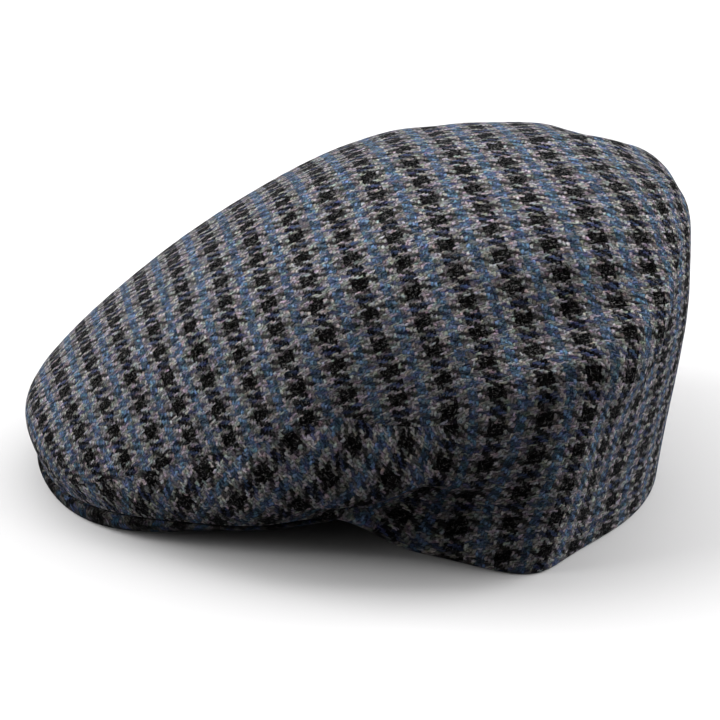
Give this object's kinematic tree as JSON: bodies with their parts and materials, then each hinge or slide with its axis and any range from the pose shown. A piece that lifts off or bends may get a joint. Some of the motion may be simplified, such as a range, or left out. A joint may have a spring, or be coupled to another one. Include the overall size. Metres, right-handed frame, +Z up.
{
  "type": "flat cap",
  "caption": "Soft cloth flat cap with a short stiffened peak and a hollow crown that the head goes into, resting on its rim and peak",
  "frame": {"origin": "middle of the footprint, on the surface the cap rests on", "axes": "+Z up, +Y to the back of the head and -Y to the peak, +X to the wearer's left"},
  "size_m": [0.2, 0.2737, 0.1404],
  "materials": {
    "crown_tweed": "matte",
    "peak_tweed": "matte"
  },
  "bodies": {
    "root": {"crown": "crown_tweed", "peak": "peak_tweed"}
  },
  "joints": []
}
